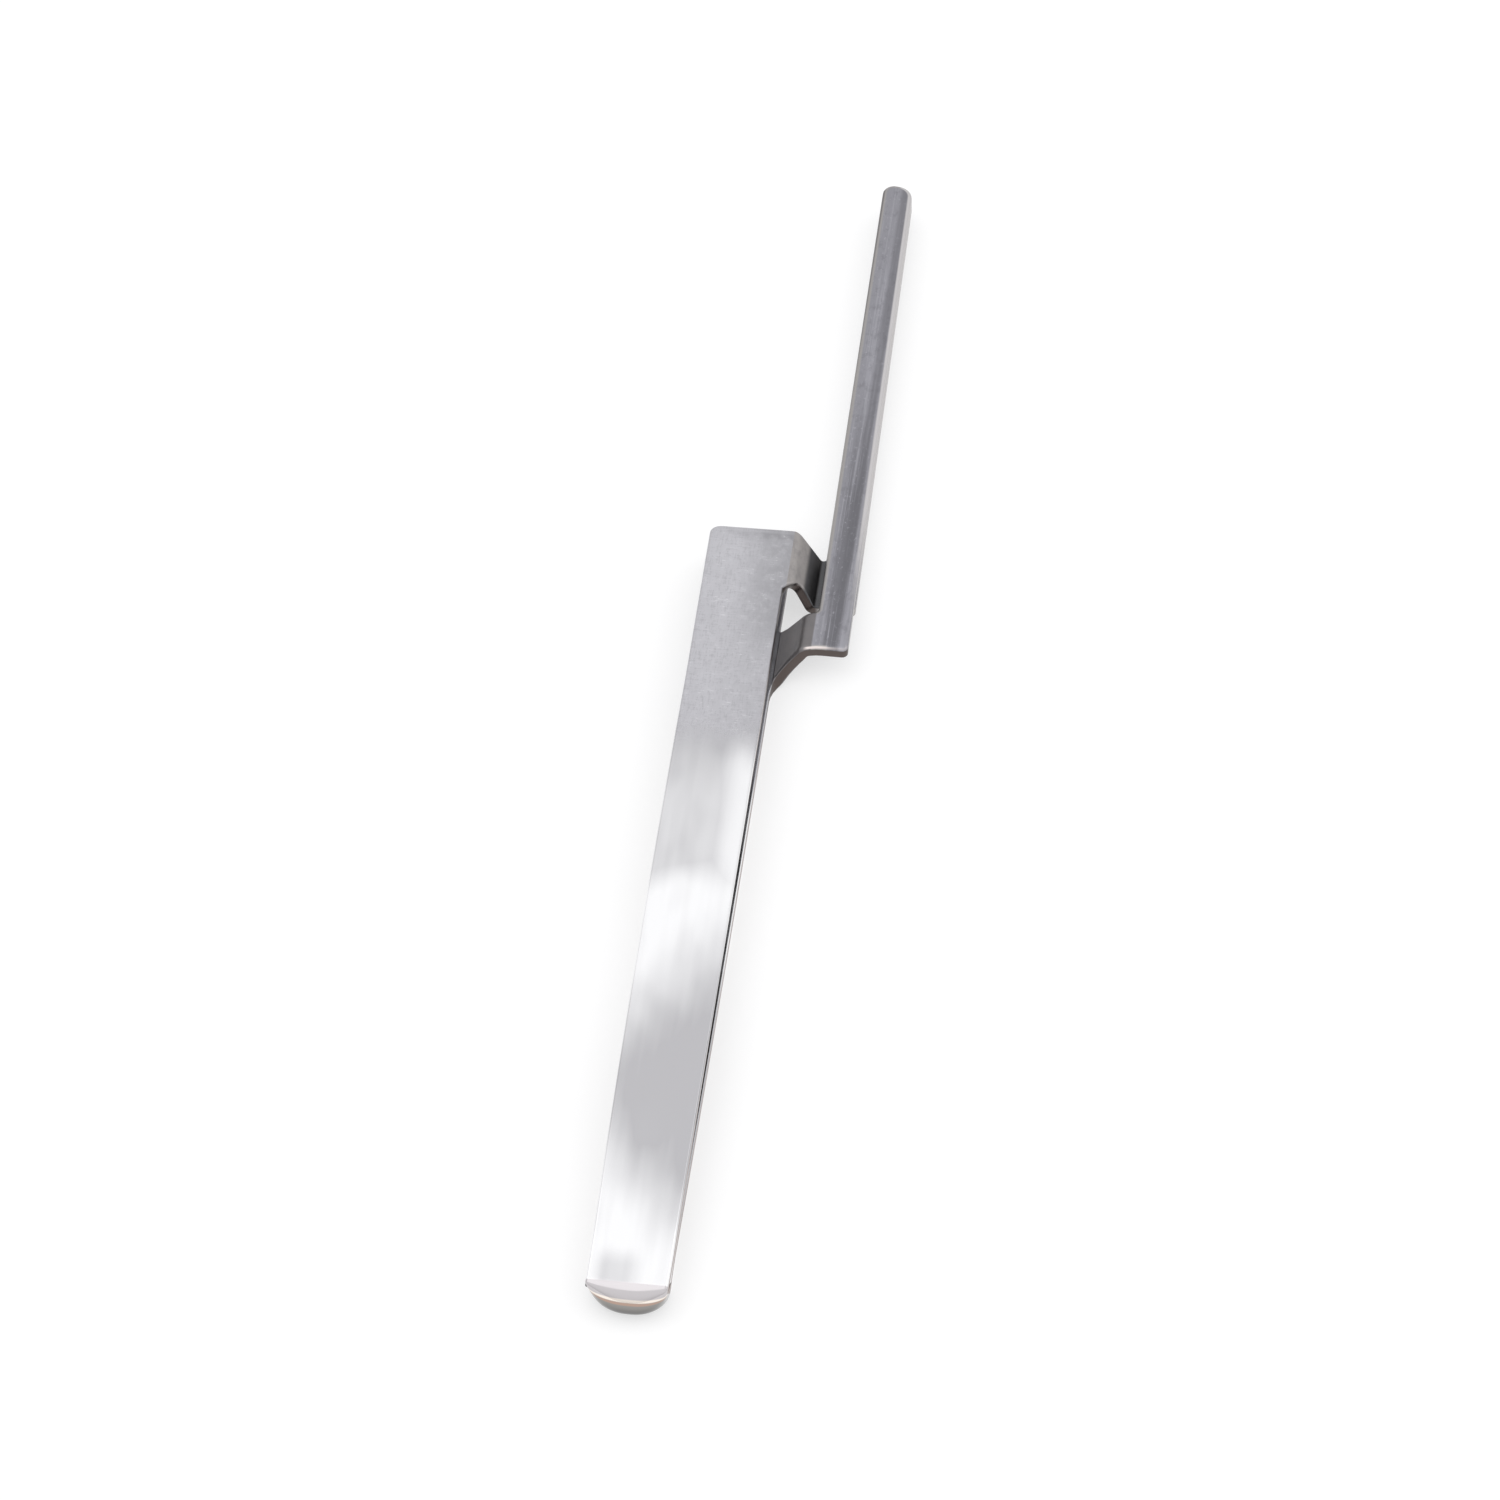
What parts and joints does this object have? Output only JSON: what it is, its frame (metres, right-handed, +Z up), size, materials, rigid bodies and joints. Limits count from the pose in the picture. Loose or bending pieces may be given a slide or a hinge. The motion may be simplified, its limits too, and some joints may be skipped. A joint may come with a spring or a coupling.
{
  "type": "cross-action articulating paper forceps",
  "caption": "Self-closing steel forceps: a strip folded into a wide sprung handle, with crossing tabs that carry long narrow jaws. Squeezing the handle opens the jaws.",
  "frame": {"origin": "middle of the base of the whole tool's box, on the surface that the lower handle lies on", "axes": "+Y from the rear fold to the jaw tips, +Z up from the lower handle to the upper handle, +X from the handle towards the jaws"},
  "size_m": [0.0154, 0.1502, 0.0058],
  "materials": {
    "polished_steel": "polished stainless spring steel, satin towards the nose",
    "brushed_steel": "brushed lengthwise, darker than the handle"
  },
  "bodies": {
    "lower_arm": {"rear_spring_fold": "polished_steel", "lower_handle": "polished_steel", "lower_crossing_tab": "brushed_steel", "upper_jaw": "brushed_steel"},
    "upper_arm": {"upper_handle": "polished_steel", "upper_crossing_tab": "brushed_steel", "lower_jaw": "brushed_steel"}
  },
  "joints": [
    {"name": "handle_squeeze", "type": "hinge", "parent": "lower_arm", "child": "upper_arm", "pos_m": [0, -0.07325, 0.0019], "axis": [-1, 0, 0], "range_deg": [0, 1.5], "stiffness_Nm_per_rad": 3, "springref_deg": -2.01}
  ]
}
